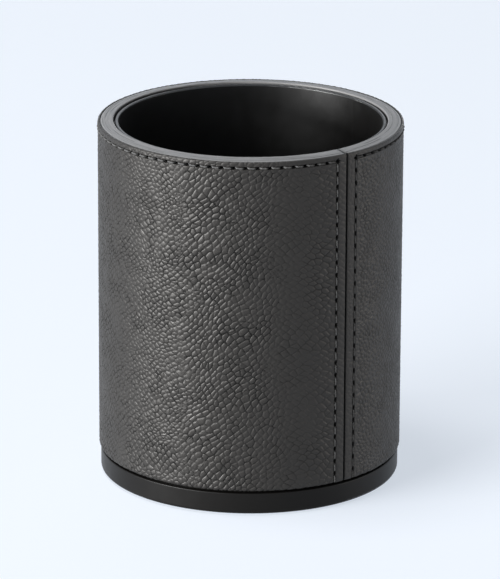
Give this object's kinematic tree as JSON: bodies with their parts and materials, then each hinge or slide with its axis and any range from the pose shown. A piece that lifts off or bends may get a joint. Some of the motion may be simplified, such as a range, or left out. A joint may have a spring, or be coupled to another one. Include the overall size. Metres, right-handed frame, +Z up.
{
  "type": "pen holder",
  "caption": "Round pen cup: a stiff tube wrapped in stitched grained leather with an open seam, a smooth rim strip, a black liner cup and a satin black plinth.",
  "frame": {"origin": "on the table under the middle of the cup", "axes": "+Z up along the cup's axis, -Y towards the open seam"},
  "size_m": [0.0854, 0.0853, 0.102],
  "materials": {
    "foot_pad": "matt black foam rubber",
    "base_plinth": "satin black moulding",
    "base_screws": "zinc-plated steel",
    "core_tube": "black fibreboard",
    "seam_tape": "black woven tape",
    "liner_cup": "satin black, finely textured",
    "floor_mat": "black felt",
    "wrap_backing": "grey bonded interlining",
    "outer_wrap": "dark grey pebbled grain",
    "rim_strip": "smooth grey edge leather",
    "thread": "dark bonded sewing thread"
  },
  "bodies": {
    "root": {"foot_pad": "foot_pad", "base_plinth": "base_plinth", "base_screws": "base_screws", "core_tube": "core_tube", "seam_tape": "seam_tape", "liner_cup": "liner_cup", "floor_mat": "floor_mat", "wrap_backing": "wrap_backing", "outer_wrap": "outer_wrap", "rim_strip": "rim_strip", "top_row_stitches": "thread", "left_seam_stitches": "thread", "right_seam_stitches": "thread"}
  },
  "joints": []
}
